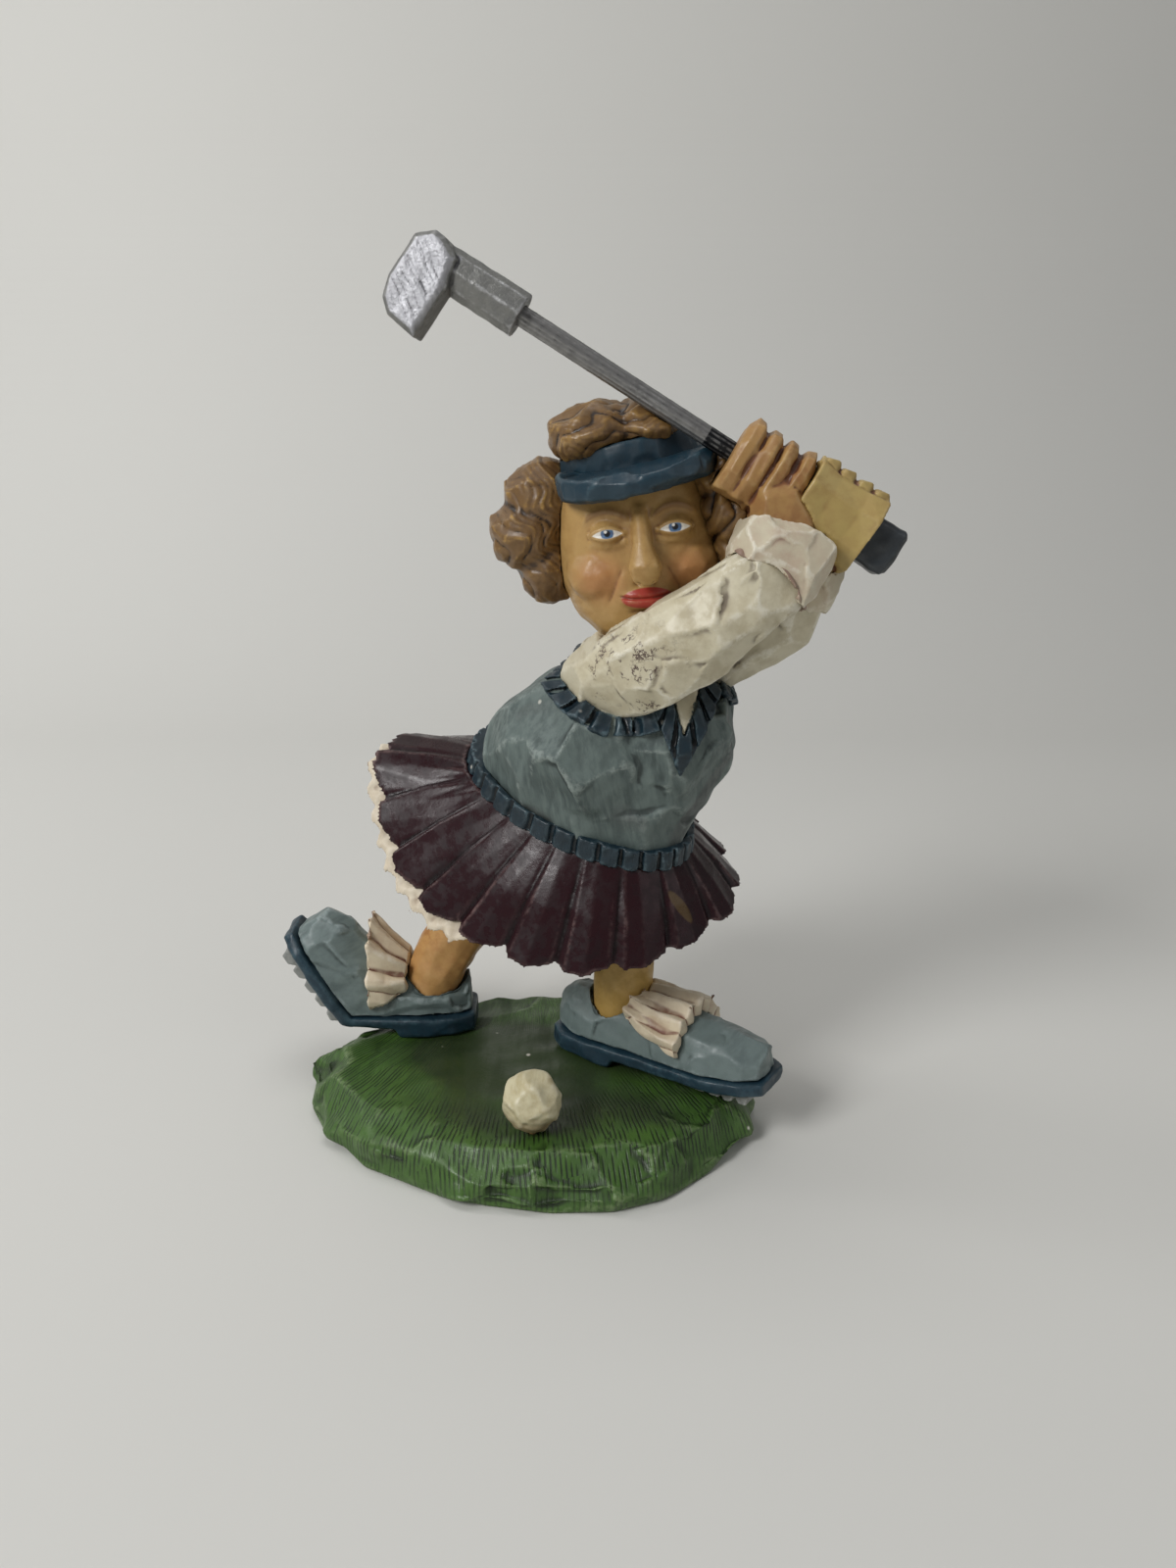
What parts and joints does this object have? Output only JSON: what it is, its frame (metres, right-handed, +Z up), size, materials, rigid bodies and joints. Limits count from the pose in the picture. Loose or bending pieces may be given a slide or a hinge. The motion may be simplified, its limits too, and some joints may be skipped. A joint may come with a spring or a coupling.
{
  "type": "golfer figurine",
  "caption": "Carved and painted folk figure of a golfer at the finish of a swing, in a knitted vest and a pleated skirt, on an oval turf base with a ball and a club that draws out of the fists.",
  "frame": {"origin": "middle of the turf base's flat underside", "axes": "+Z up, -Y the way the figure faces, +X to the figure's left"},
  "size_m": [0.2156, 0.1378, 0.3001],
  "materials": {
    "turf_paint": "painted, satin",
    "cream_paint": "painted, satin",
    "shoe_paint": "painted, satin",
    "navy_paint": "painted, satin",
    "cleat_paint": "painted, satin",
    "skin_paint": "painted, satin",
    "maroon_gloss": "painted, gloss",
    "vest_paint": "painted, matt",
    "shirt_paint": "painted, satin",
    "hair_paint": "painted, satin",
    "silver_paint": "metallic paint",
    "black_paint": "painted, satin",
    "bare_wood": "bare"
  },
  "bodies": {
    "figure": {"turf_base": "turf_paint", "golf_ball": "cream_paint", "ball_peg": "bare_wood", "right_shoe_sole": "navy_paint", "right_shoe_upper": "shoe_paint", "right_shoe_flap": "cream_paint", "right_shoe_cleats": "cleat_paint", "right_leg": "skin_paint", "right_leg_dowel": "bare_wood", "left_shoe_sole": "navy_paint", "left_shoe_upper": "shoe_paint", "left_shoe_flap": "cream_paint", "left_shoe_cleats": "cleat_paint", "left_leg": "skin_paint", "left_leg_dowel": "bare_wood", "petticoat": "cream_paint", "skirt": "maroon_gloss", "waist_rib": "navy_paint", "vest": "vest_paint", "neck_rib": "navy_paint", "right_armhole_rib": "navy_paint", "left_armhole_rib": "navy_paint", "shirt_front": "shirt_paint", "shirt_collar": "shirt_paint", "right_sleeve": "shirt_paint", "left_sleeve": "shirt_paint", "right_cuff": "shirt_paint", "left_cuff": "shirt_paint", "right_hand": "skin_paint", "left_hand": "skin_paint", "head": "skin_paint", "hair_crown": "hair_paint", "hair_right": "hair_paint", "hair_left": "hair_paint", "hair_back": "hair_paint", "visor_band": "navy_paint", "visor_brim": "navy_paint", "grip_butt": "black_paint"},
    "club": {"club_shaft": "silver_paint", "club_head": "silver_paint"}
  },
  "joints": [
    {"name": "club_draw", "type": "slide", "parent": "figure", "child": "club", "axis": [-0.8512, 0.062, 0.5211], "range_m": [0, 0.03]}
  ]
}
